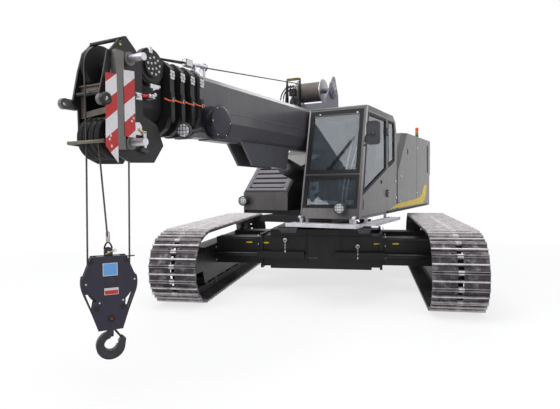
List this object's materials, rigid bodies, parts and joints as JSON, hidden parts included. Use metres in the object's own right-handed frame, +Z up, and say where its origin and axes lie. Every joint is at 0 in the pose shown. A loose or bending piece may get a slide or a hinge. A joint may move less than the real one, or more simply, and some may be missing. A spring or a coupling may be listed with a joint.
{
  "type": "crawler crane with telescopic boom",
  "caption": "Crawler crane with wide tracks, a slewing house and cab, a telescopic boom with luffing cylinder, a winch and a hook block.",
  "frame": {"origin": "on the ground under the slewing axis, midway between the tracks", "axes": "-Y forward along the tracks, +X to the machine's left, +Z up; the superstructure stands slewed by about eighteen degrees to the right"},
  "size_m": [4.571, 8.6075, 3.58],
  "materials": {
    "black_steel": "satin black paint",
    "worn_steel": "track shoes worn bright",
    "grey_paint": "dark warm grey metallic paint",
    "light_grey": "light grey paint",
    "dark_grey": "dark grey satin paint",
    "glass": "tinted cab glass",
    "chrome": "bright chrome",
    "cushion": "dark cloth",
    "black_plastic": "black plastic",
    "galvanised": "galvanised grating",
    "red_lens": "coloured lenses",
    "rope_steel": "greased wire rope",
    "navy_black": "blue-black paint"
  },
  "bodies": {
    "chassis": {"carbody": "black_steel"},
    "left_track": {"side_frame_left": "black_steel", "track_left": "worn_steel", "wheels_left": "black_steel"},
    "right_track": {"side_frame_right": "black_steel", "track_right": "worn_steel", "wheels_right": "black_steel"},
    "superstructure": {"deck": "black_steel", "boom_stand": "grey_paint", "house_left": "grey_paint", "house_right": "grey_paint", "counterweight": "grey_paint", "engine": "dark_grey", "front_box": "grey_paint", "vent_lid": "light_grey", "cab": "grey_paint", "cab_glass": "glass", "seat": "cushion", "console": "black_plastic", "steps": "galvanised", "mirror": "black_plastic", "work_lamps": "chrome", "warning_tower": "red_lens"},
    "cab_door": {"cab_door": "grey_paint", "door_glass": "glass"},
    "luff_barrel": {"luff_barrel": "dark_grey"},
    "luff_rod": {"luff_rod": "chrome"},
    "boom_base": {"boom_base": "grey_paint", "winch_frame": "grey_paint", "boom_rope": "rope_steel", "cable_reel": "black_plastic"},
    "winch_drum": {"winch_drum": "rope_steel"},
    "section_2": {"boom_section_2": "dark_grey"},
    "section_3": {"boom_section_3": "dark_grey"},
    "section_4": {"boom_section_4": "dark_grey"},
    "boom_head": {"boom_head": "grey_paint", "jib_pins": "chrome", "head_rope": "rope_steel"},
    "upper_sheave": {"upper_sheave": "dark_grey"},
    "lower_sheaves": {"lower_sheaves": "dark_grey"},
    "hook_block": {"falls": "rope_steel", "block": "navy_black"},
    "block_sheave": {"block_sheave": "dark_grey"},
    "hook": {"hook": "navy_black"}
  },
  "joints": [
    {"name": "left_gauge", "type": "slide", "parent": "chassis", "child": "left_track", "axis": [1, 0, 0], "range_m": [-0.5, 0]},
    {"name": "right_gauge", "type": "slide", "parent": "chassis", "child": "right_track", "axis": [-1, 0, 0], "range_m": [-0.5, 0]},
    {"name": "slew", "type": "hinge", "parent": "chassis", "child": "superstructure", "pos_m": [0, 0, 1.08], "axis": [0, 0, 1], "continuous": true},
    {"name": "cab_door_hinge", "type": "hinge", "parent": "superstructure", "child": "cab_door", "pos_m": [1.10032, -0.55931, 1.59], "axis": [0, 0, 1], "range_deg": [0, 175]},
    {"name": "luff", "type": "hinge", "parent": "superstructure", "child": "boom_base", "pos_m": [0.57513, 1.81086, 2.45], "axis": [-0.9531, 0.3027, 0], "range_deg": [0, 78]},
    {"name": "luff_barrel_hinge", "type": "hinge", "parent": "superstructure", "child": "luff_barrel", "pos_m": [0.27243, 0.85778, 1.48], "axis": [-0.9531, 0.3027, 0], "range_deg": [0, 75.74]},
    {"name": "luff_rod_slide", "type": "slide", "parent": "luff_barrel", "child": "luff_rod", "axis": [-0.2952, -0.9296, 0.2208], "range_m": [0, 1.7489]},
    {"name": "winch_spin", "type": "hinge", "parent": "boom_base", "child": "winch_drum", "pos_m": [-0.09081, -0.28593, 3.34], "axis": [-0.9531, 0.3027, 0], "continuous": true},
    {"name": "telescope_2", "type": "slide", "parent": "boom_base", "child": "section_2", "axis": [-0.3027, -0.9531, 0], "range_m": [0, 4.2]},
    {"name": "telescope_3", "type": "slide", "parent": "section_2", "child": "section_3", "axis": [-0.3027, -0.9531, 0], "range_m": [0, 4.2]},
    {"name": "telescope_4", "type": "slide", "parent": "section_3", "child": "section_4", "axis": [-0.3027, -0.9531, 0], "range_m": [0, 4.2]},
    {"name": "telescope_5", "type": "slide", "parent": "section_4", "child": "boom_head", "axis": [-0.3027, -0.9531, 0], "range_m": [0, 4.2]},
    {"name": "upper_sheave_spin", "type": "hinge", "parent": "boom_head", "child": "upper_sheave", "pos_m": [-1.49838, -4.71777, 2.8], "axis": [-0.9531, 0.3027, 0], "continuous": true},
    {"name": "lower_sheaves_spin", "type": "hinge", "parent": "boom_head", "child": "lower_sheaves", "pos_m": [-1.49838, -4.71777, 2.18], "axis": [-0.9531, 0.3027, 0], "continuous": true},
    {"name": "block_swing", "type": "hinge", "parent": "boom_head", "child": "hook_block", "pos_m": [-1.49838, -4.71777, 2.18], "axis": [-0.9531, 0.3027, 0], "range_deg": [-78, 0]},
    {"name": "block_sheave_spin", "type": "hinge", "parent": "hook_block", "child": "block_sheave", "pos_m": [-1.49838, -4.71777, 0.9], "axis": [0.5931, -0.8051, 0], "continuous": true},
    {"name": "hook_swivel", "type": "hinge", "parent": "hook_block", "child": "hook", "pos_m": [-1.49838, -4.71777, 0.48], "axis": [0, 0, 1], "continuous": true}
  ],
  "couplings": [
    {"joint": "luff_barrel_hinge", "follows": "luff", "ratio": 0.97041},
    {"joint": "luff_rod_slide", "follows": "luff", "m_per_rad": 1.2839},
    {"joint": "block_swing", "follows": "luff", "ratio": -1},
    {"joint": "telescope_3", "follows": "telescope_2", "ratio": 1},
    {"joint": "telescope_4", "follows": "telescope_2", "ratio": 1},
    {"joint": "telescope_5", "follows": "telescope_2", "ratio": 1}
  ]
}
